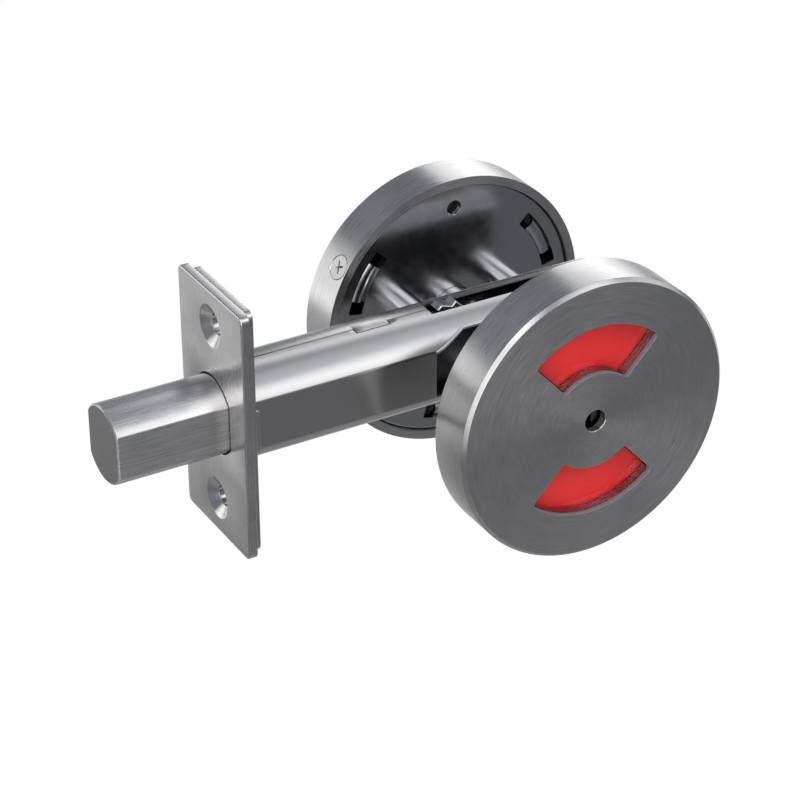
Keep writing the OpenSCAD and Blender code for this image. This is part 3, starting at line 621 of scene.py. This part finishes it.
def collar_grids(side):
    """Drawn collar behind a mounting plate's top hole: a blind bore that rises and falls once a
    pitch along a helix and widens at its mouth, and a plain outside."""
    bore_r, bore_l, thread, pitch = 1.68, 2.6, 0.07, 1.1
    mouth, mouth_l = 0.10, 0.15
    outer_r, outer_l, plate_y, hole_z = 2.3, 3.0, 1.05, 25.2
    angle = np.linspace(0, 2 * math.pi, 49)
    depth = np.linspace(0, bore_l, 53)[:, None]
    bore = (bore_r + thread * np.cos(2 * math.pi * depth / pitch - angle)
            + mouth * np.exp(-depth / mouth_l))

    def place(r, y):
        return np.stack([HUB_X + r * np.sin(angle), side * (RIM_Y + plate_y + y) + 0 * r,
                         HUB_Z + hole_z + r * np.cos(angle)], -1)

    inner = place(np.concatenate([bore, 0 * bore[:1]]), np.append(depth, bore_l)[:, None])
    outer = place(np.concatenate([bore[:1], np.full((2, len(angle)), outer_r), 0 * bore[:1]]),
                  np.array([[0], [0], [outer_l], [outer_l]]))
    return [inner, outer]


# Finishes


def put(tree, kind, values=(), **settings):
    """Adds a node; values go to its inputs by number or name, as a link where they are sockets."""
    made = tree.nodes.new(kind)
    for key, value in settings.items():
        setattr(made, key, value)
    pairs = values.items() if isinstance(values, dict) else enumerate(values)
    for key, value in pairs:
        if isinstance(value, bpy.types.NodeSocket):
            tree.links.new(value, made.inputs[key])
        elif value is not None:
            made.inputs[key].default_value = value
    return made.outputs[0]


def vector(tree, operation, *values):
    """Result of a vector operation, on sockets or plain vectors."""
    return put(tree, "ShaderNodeVectorMath", values, operation=operation)


def number(tree, operation, *values):
    """Result of an operation on numbers, as sockets or plain ones."""
    return put(tree, "ShaderNodeMath", values, operation=operation)


def object_place(tree):
    """Place on the object, in its own coordinates."""
    return put(tree, "ShaderNodeTexCoord").node.outputs["Object"]


def noise(tree, place, scale, detail, roughness=0.5):
    """Noise value at a place."""
    return put(tree, "ShaderNodeTexNoise", {"Vector": place, "Scale": scale, "Detail": detail,
                                            "Roughness": roughness})


def true_normal(tree):
    """The surface's normal, without bump."""
    return put(tree, "ShaderNodeNewGeometry").node.outputs["Normal"]


def add_bump(tree, shader, strength, distance, height):
    """Gives the shader a bumped normal; distance is in metres."""
    bump = put(tree, "ShaderNodeBump", {"Strength": strength, "Distance": distance,
                                        "Height": height})
    tree.links.new(bump, shader.inputs["Normal"])


def finish(name, colour, metallic, roughness):
    """New material with its plain values on the shader; returns it with its tree and shader."""
    made = bpy.data.materials.new(name)
    made.use_nodes = True
    shader = made.node_tree.nodes["Principled BSDF"]
    shader.inputs["Base Color"].default_value = (*colour, 1)
    shader.inputs["Metallic"].default_value = metallic
    shader.inputs["Roughness"].default_value = roughness
    return made, made.node_tree, shader


# Most noise values lie between these two.
NOISE_LOW, NOISE_HIGH = 0.25, 0.75


def spread(tree, value, low, high):
    """Maps a noise value to a range."""
    return put(tree, "ShaderNodeMapRange", {"Value": value, "From Min": NOISE_LOW,
                                            "From Max": NOISE_HIGH, "To Min": low, "To Max": high})


def shade_of(tree, value, dark, light):
    """Colour between two, by a noise value."""
    ramp = put(tree, "ShaderNodeValToRGB", [value])
    stops = ramp.node.color_ramp.elements
    stops[0].position, stops[1].position = NOISE_LOW, NOISE_HIGH
    stops[0].color, stops[1].color = (*dark, 1), (*light, 1)
    return ramp


# For each direction of brush lines: which axes carry the fine scale, and a line's direction, a
# little off the axis so that it is never along a normal.
BRUSH_FINE = {"x": (0, 1, 1), "y": (1, 0, 1), "z": (1, 1, 0), "seat": (1, 0, 0)}
BRUSH_ALONG = {"x": (1, 0, 0.03), "y": (0, 1, 0.03), "z": (0, 0.03, 1), "seat": (1, 0.01, 0.02)}
WARM_GREY = (1, 0.985, 0.975)


def brushed(name, lines, light, rough, stretch, strength, fine, lean=0.75):
    """Satin steel: streaks of noise, long along the brush lines and fine across them, change the
    grey, the roughness and the height a little, and reflections spread across the lines. Lines run
    round the spindle's axis, round X on a seat, or along X, Y or Z."""
    made, tree, shader = finish(name, (light, light, light), 1.0, rough)
    place = object_place(tree)
    if lines == "round":
        arm = vector(tree, "SUBTRACT", place, (HUB_X / TO_MM, 0, HUB_Z / TO_MM))
        flat = vector(tree, "MULTIPLY", arm, (1, 0, 1))
        reach = vector(tree, "LENGTH", flat).node.outputs["Value"]
        unit = put(tree, "ShaderNodeSeparateXYZ", [vector(tree, "NORMALIZE", flat)]).node.outputs
        depth = put(tree, "ShaderNodeSeparateXYZ", [arm]).node.outputs["Y"]
        finely = number(tree, "MULTIPLY", number(tree, "ADD", reach, depth), fine)
        spot = put(tree, "ShaderNodeCombineXYZ", [unit["X"], unit["Z"], None])
        spot = vector(tree, "MULTIPLY", spot, (stretch, stretch, 0))
        spot = vector(tree, "ADD", spot, put(tree, "ShaderNodeCombineXYZ", [None, None, finely]))
        along = vector(tree, "CROSS_PRODUCT", flat, (0, 1, 0))
    else:
        spot = vector(tree, "MULTIPLY", place, [fine if f else stretch for f in BRUSH_FINE[lines]])
        along = put(tree, "ShaderNodeCombineXYZ", BRUSH_ALONG[lines])
    streak = noise(tree, spot, 1.0, 3.0, 0.62)
    cloud = noise(tree, place, 140.0, 2.0)
    both = number(tree, "ADD", number(tree, "MULTIPLY", cloud, 0.3),
                  number(tree, "MULTIPLY", streak, 0.7))
    dark, bright = ([light * (1 + part * strength) * tint for tint in WARM_GREY]
                    for part in (-0.24, 0.22))
    tree.links.new(shade_of(tree, both, dark, bright), shader.inputs["Base Color"])
    gloss = spread(tree, streak, rough * (1 - 0.3 * strength), rough * (1 + 0.3 * strength))
    tree.links.new(gloss, shader.inputs["Roughness"])
    add_bump(tree, shader, 0.12 * strength, 0.00005, streak)
    normal = true_normal(tree)
    if lines == "seat":
        along = vector(tree, "CROSS_PRODUCT", normal, along)
    across = vector(tree, "NORMALIZE", vector(tree, "CROSS_PRODUCT", normal, along))
    shader.inputs["Anisotropic"].default_value = lean
    tree.links.new(across, shader.inputs["Tangent"])
    return made


def plain_metal(name, dark, light, rough, grain, bump):
    """Bright or machined metal: cloudy noise changes the grey, and fine noise the roughness and the
    height."""
    made, tree, shader = finish(name, light, 1.0, rough)
    place = object_place(tree)
    cloud, speck = noise(tree, place, grain, 4.0), noise(tree, place, grain * 9, 2.0)
    tree.links.new(shade_of(tree, cloud, dark, light), shader.inputs["Base Color"])
    tree.links.new(spread(tree, speck, rough * 0.75, rough * 1.25), shader.inputs["Roughness"])
    add_bump(tree, shader, bump, 0.00005, speck)
    return made


def moulded(name, dark, light, rough, grain=900.0, bump=0.1, behind=None):
    """Moulded or painted piece: faint clouding of colour and a fine grain in gloss and height. With
    behind, faces that look towards the door take that colour instead."""
    made, tree, shader = finish(name, light, 0.0, rough)
    place = object_place(tree)
    cloud, speck = noise(tree, place, 120.0, 3.0), noise(tree, place, grain, 2.0)
    colour = shade_of(tree, cloud, dark, light)
    if behind:
        facing = vector(tree, "MULTIPLY", true_normal(tree), place)
        facing_y = put(tree, "ShaderNodeSeparateXYZ", [facing]).node.outputs["Y"]
        mix = put(tree, "ShaderNodeMix", data_type="RGBA").node
        tree.links.new(number(tree, "GREATER_THAN", facing_y, 0.0), mix.inputs["Factor"])
        colours = [each for each in mix.inputs if each.type == "RGBA"]
        colours[0].default_value = (*behind, 1)
        tree.links.new(colour, colours[1])
        colour = [each for each in mix.outputs if each.type == "RGBA"][0]
    tree.links.new(colour, shader.inputs["Base Color"])
    tree.links.new(spread(tree, speck, rough * 0.8, rough * 1.2), shader.inputs["Roughness"])
    add_bump(tree, shader, bump, 0.00003, speck)
    return made


def clear_pane():
    """Clear plastic: light passes straight, also from the lamps to what lies behind, a bright coat
    gives the reflections, and the surface has faint moulding waves in gloss and height."""
    made, tree, shader = finish("clear_pane", (1.0, 1.0, 1.0), 0.0, 0.01)
    plain = {"Transmission Weight": 1.0, "IOR": 1.03, "Coat Weight": 0.4, "Coat IOR": 1.49,
             "Coat Roughness": 0.02}
    for socket, value in plain.items():
        shader.inputs[socket].default_value = value
    wave = noise(tree, object_place(tree), 160.0, 1.0)
    tree.links.new(spread(tree, wave, 0.0, 0.02), shader.inputs["Roughness"])
    add_bump(tree, shader, 0.03, 0.00005, wave)
    shadow = put(tree, "ShaderNodeLightPath").node.outputs["Is Shadow Ray"]
    through = put(tree, "ShaderNodeBsdfTransparent")
    mixed = put(tree, "ShaderNodeMixShader", [shadow, shader.outputs[0], through])
    tree.links.new(mixed, tree.nodes["Material Output"].inputs[0])
    return made


# Brushed: lines, light, rough, stretch, strength, fine and lean.
satin_face = brushed("satin_face", "round", 0.52, 0.34, 5.0, 0.62, 2800.0)
satin_side = brushed("satin_side", "round", 0.48, 0.31, 5.0, 0.9, 4200.0, 0.8)
satin_plate = brushed("satin_plate", "z", 0.55, 0.27, 150.0, 1.1, 4200.0)
satin_edge = brushed("satin_edge", "y", 0.51, 0.30, 60.0, 0.06, 1500.0)
turned_seat = brushed("turned_seat", "seat", 0.52, 0.24, 260.0, 0.4, 5200.0)
satin_bolt = brushed("satin_bolt", "x", 0.64, 0.30, 110.0, 0.9, 4600.0)
rolled_sheet = brushed("rolled_sheet", "x", 0.44, 0.24, 120.0, 0.06, 4200.0)

# Plain metal: dark, light, rough, grain and bump.
cut_end = plain_metal("cut_end", (0.20, 0.20, 0.20), (0.22, 0.22, 0.22), 0.5, 700.0, 0.06)
bright_plated = plain_metal("bright_plated", (0.68, 0.68, 0.69), (0.72, 0.72, 0.73), 0.13, 90.0,
                            0.01)
# A darker copy of the plating, as painted shade: the outside mount takes it so that the case and
# the other mount reflect it dark.
plating_painted_shade = plain_metal("plating_painted_shade", (0.24, 0.24, 0.25), (0.27, 0.27, 0.28), 0.19, 60.0, 0.004)
plated_plate = plain_metal("plated_plate", (0.40, 0.40, 0.41), (0.43, 0.43, 0.44), 0.19, 60.0,
                           0.004)
dark_core = plain_metal("dark_core", (0.035, 0.035, 0.035), (0.06, 0.06, 0.06), 0.35, 300.0, 0.1)
# Dark steel as painted shade: the hub's cheeks and pins inside the case, and the cut walls of the
# case's seam, take it for the shadow they lie in.
painted_shade_steel = plain_metal("painted_shade_steel", (0.07, 0.07, 0.073), (0.09, 0.09, 0.093), 0.34, 160.0,
                          0.01)
machined = plain_metal("machined", (0.40, 0.40, 0.41), (0.44, 0.44, 0.45), 0.26, 120.0, 0.005)
pane_wall = plain_metal("pane_wall", (0.26, 0.24, 0.25), (0.30, 0.28, 0.29), 0.16, 90.0, 0.0)
# Bright finish of the side openings' edge beads: their round catches the lamps, and the finish, far
# lighter than the sheet, adds a painted highlight.
cut_edge_and_painted_highlight = plain_metal("cut_edge_and_painted_highlight", (0.76, 0.76, 0.77), (0.80, 0.80, 0.81), 0.4, 90.0, 0.0)

# Moulded: dark, light, rough, grain and bump.
BLACK_BACK = (0.012, 0.012, 0.012)
red_signal = moulded("red_signal", (0.76, 0.008, 0.008), (0.82, 0.011, 0.011), 0.45, 900.0, 0.01,
                     behind=BLACK_BACK)
green_signal = moulded("green_signal", (0.03, 0.26, 0.07), (0.05, 0.34, 0.10), 0.32,
                       behind=BLACK_BACK)
# Black plastic; the collars' deep insides also take it as painted shade.
black_plastic_and_shade = moulded("black_plastic_and_shade", (0.012, 0.012, 0.013), (0.025, 0.025, 0.027), 0.5, 700.0,
                        0.3)
# Dark finish of the panes' rounded lips: painted shade for the dark edge of the clear lens.
pane_lip_painted_shade = moulded("pane_lip_painted_shade", (0.045, 0.04, 0.043), (0.06, 0.055, 0.058), 0.4, 300.0, 0.0)
# Matte grey-lilac of the roses' window walls: a painted reflection, the tone that a steel wall
# takes from the red it faces.
window_wall_painted_reflection = moulded("window_wall_painted_reflection", (0.20, 0.185, 0.205), (0.23, 0.215, 0.235), 0.6, 300.0, 0.0)

pane = clear_pane()

slots = {part["node"]: part["material_slot"] for part in frame["record"]["subparts"]}
by_slot = {"brushed": satin_side, "case_sheet": rolled_sheet, "polished": bright_plated,
           "inner_steel": machined, "clear": pane, "red": red_signal, "green": green_signal,
           "black_plastic": black_plastic_and_shade}
# The outside mount takes the darker plating, which is painted shade.
by_node = {"outside_mount": plating_painted_shade, "inside_mount": plated_plate, "release_core": dark_core,
           # The hub's cheeks and pins take the dark steel: painted shade for their shadow deep in
           # the case.
           "hub_cheeks": painted_shade_steel, "cheek_pins": painted_shade_steel}
for name, solid in nodes.items():
    solid.data.materials.clear()
    solid.data.materials.append(by_node.get(name, by_slot[slots[name]]))

# Pieces

rose("outside_cup", RELEASE_R, -1, ["outside_rose"])

sink = rounded([(SINK_R + 0.3, 0), (SINK_R, 0), (SCREW_R, SINK_DEPTH), (SCREW_R, PLATE_T)],
               [0.12, 0.1], 4)[1:]
opening = rounded([(0.4, 0), (0, 0), (0, PLATE_T)], [0.22], 4)[1:]
holed_plate("edge_plate", 0.0, PLATE_T, PLATE_W / 2, PLATE_H / 2, corner=1.6, front=0.32,
            screw_rows=sink, bolt_rows=opening, covers=["face_plate"])

# The backing plate is a little smaller, has a recess for the case, and an ear on each of its flats.
back_x, back_in_w, back_in_h, recess = PLATE_T + BACK_T, 1.9, 0.2, 2.1
ear_x, ear_y, ear_z = back_x + 0.32, CASE_FLAT + 0.5, -0.7
ear_half_x, ear_half_z, ear_corner = 1.68, 5.0, 0.9
ear_half_t, ear_inset, ear_round = 0.35, 0.3, 0.28
ear_profile = rounded([(ear_inset, -ear_half_t), (0, -ear_half_t), (0, ear_half_t),
                       (ear_inset, ear_half_t)], [ear_round, ear_round])
ears = [slab(round_box(ear_half_x, ear_half_z, ear_corner), ear_profile,
             lambda u, v, d, s=s: np.stack([ear_x + u, s * ear_y + d, ear_z + v], -1))
        for s in (-1, 1)]
plain_hole = np.array([(SCREW_R, PLATE_T), (SCREW_R, back_x)])
case_seat = np.array([(0, PLATE_T), (0, CASE_START), (recess, CASE_START), (recess, back_x)])
holed_plate("backing_plate", PLATE_T, back_x, PLATE_W / 2 - back_in_w, PLATE_H / 2 - back_in_h,
            corner=2.0, front=0.2, screw_rows=plain_hole, bolt_rows=case_seat,
            covers=["back_plate"], extra=ears)

# The bolt's end face has its own finish.
add_piece("bolt_bar", bolt_grids(), "bolt", [satin_bolt, cut_end], ["bolt_head"],
          choose=lambda n, c: n[:, 0] < -FACING)

add_piece("rose_screw", [screw_grid()], "lock", [satin_side], ["side_screw"])

# The collars' deep insides take black as painted shade; the panes have flat faces, a rounded lip in
# a dark finish that is painted shade, and side walls.
for side, word in ((-1, "outside"), (1, "inside")):
    add_piece(word + "_collar", collar_grids(side), "lock",
              [bright_plated, black_plastic_and_shade], choose=lambda n, c: np.abs(c[:, 1]) > RIM_Y + 2.7)
    add_piece(word + "_panes", lens_grids(side), "lock", [pane, pane_lip_painted_shade, pane_wall],
              [word + "_lenses"],
              choose=lambda n, c: np.where(np.abs(n[:, 1]) < 0.2, 2, np.abs(n[:, 1]) < 0.9))

add_piece("stepped_lever", lever_grids(), "turn", [machined], ["cam_lever"])

add_piece("case_beads", [bead_grid(1), bead_grid(-1)], "lock", [cut_edge_and_painted_highlight])

# The cut walls of the case's seam carry painted shade: upright faces near the middle, before the
# slot, take the dark steel that stands for the shadow in the gap.
outer_sheet, inner_sheet = case_grids(), case_grids(CASE_WALL)
add_piece("case_tube", outer_sheet + inner_sheet + sheet_rim(outer_sheet, inner_sheet), "lock",
          [rolled_sheet, painted_shade_steel], ["bolt_case"], crease=50,
          choose=lambda n, c: ((np.abs(n[:, 2]) < 0.5) & (np.abs(c[:, 1]) < 2.4)
                               & (c[:, 0] < SLOT_X - 0.01)))

# Camera, light and floor

right = Vector((0.866160, -0.499757, -0.002944))
forward = Vector((0.431323, 0.750501, -0.500709))
camera = bpy.data.objects.new("camera", bpy.data.cameras.new("camera"))
camera.data.lens, camera.data.sensor_width = 119.16, 36.0
stand = Matrix((right, right.cross(forward), -forward)).transposed().to_4x4()
stand.translation = Vector((-0.20181, -0.42836, 0.27603))
camera.matrix_world = stand
scene.collection.objects.link(camera)
scene.camera = camera

world = bpy.data.worlds.new("studio")
scene.world = world
world.use_nodes = True
world.node_tree.nodes["Background"].inputs[0].default_value = (0.25, 0.265, 0.30, 1)

LAMP_DISTANCE, LAMP_SPREAD = 1.0, math.radians(75)
LAMP_AIM = Vector((0.05, 0, 0))


def soft_box(name, direction, width, height, level, tint=(1, 1, 1)):
    """Rectangular studio light that shines at the object's middle; level is its brightness as
    seen."""
    towards = Vector(direction).normalized()
    lamp = bpy.data.lights.new(name, "AREA")
    lamp.shape = "RECTANGLE"
    lamp.size, lamp.size_y = width, height
    lamp.color = tint
    lamp.spread = LAMP_SPREAD
    narrowing = 1 - 0.5 * lamp.spread / math.tan(0.5 * lamp.spread)
    lamp.energy = level * math.pi * width * height * narrowing
    box = bpy.data.objects.new(name, lamp)
    scene.collection.objects.link(box)
    box.location = towards * LAMP_DISTANCE + LAMP_AIM
    box.rotation_mode = "QUATERNION"
    box.rotation_quaternion = towards.to_track_quat("Z", "Y")


# Direction, width, height and level.
soft_box("front_box", (0.43, -0.64, 0.635), 0.7, 0.6, 2.5)
soft_box("left_box", (-0.50, -0.68, 0.52), 1.2, 0.7, 1.2)
soft_box("high_left_box", (-0.43, -0.42, 0.80), 0.8, 0.5, 3.4)
soft_box("fill_box", (-0.62, -0.78, 0.04), 1.4, 1.1, 2.6)
soft_box("right_box", (0.90, -0.25, 0.36), 0.6, 0.6, 1.4)
soft_box("rear_box", (0.60, 0.75, 0.28), 0.46, 0.54, 3.1)
soft_box("ridge_box", (0.43, 0.45, 0.78), 0.4, 0.3, 1.6)
soft_box("low_left_box", (-0.65, 0.75, 0.05), 0.7, 0.6, 2.0)
soft_box("top_box", (0.43, -0.15, 0.89), 0.5, 0.35, 0.8, (0.88, 0.93, 1.0))

FLOOR_HALF, FLOOR_Z = 4, -0.5
floor_mesh = bpy.data.meshes.new("floor")
floor_mesh.from_pydata([(FLOOR_HALF * x, FLOOR_HALF * y, FLOOR_Z)
                        for x, y in ((-1, -1), (1, -1), (1, 1), (-1, 1))], [], [(0, 1, 2, 3)])
floor = bpy.data.objects.new("floor", floor_mesh)
scene.collection.objects.link(floor)
floor_finish, tree, shader = finish("floor", (0.62, 0.607, 0.585), 0.0, 1.0)
floor_mesh.materials.append(floor_finish)

# Behind the object the floor is seen as white, and turns to its own shade towards the front.
seen = put(tree, "ShaderNodeLightPath").node.outputs
either = number(tree, "MAXIMUM", seen["Is Camera Ray"], seen["Is Glossy Ray"])
either = number(tree, "MAXIMUM", either, seen["Is Transmission Ray"])
away = vector(tree, "DOT_PRODUCT", object_place(tree), (0.5, 0.866, 0)).node.outputs["Value"]
behind = put(tree, "ShaderNodeMapRange", {"Value": away, "From Min": 0.455, "From Max": 0.494},
             interpolation_type="SMOOTHSTEP")
amount = number(tree, "MULTIPLY", either, behind)
white = put(tree, "ShaderNodeEmission")
mixed = put(tree, "ShaderNodeMixShader", [amount, shader.outputs[0], white])
tree.links.new(mixed, tree.nodes["Material Output"].inputs[0])
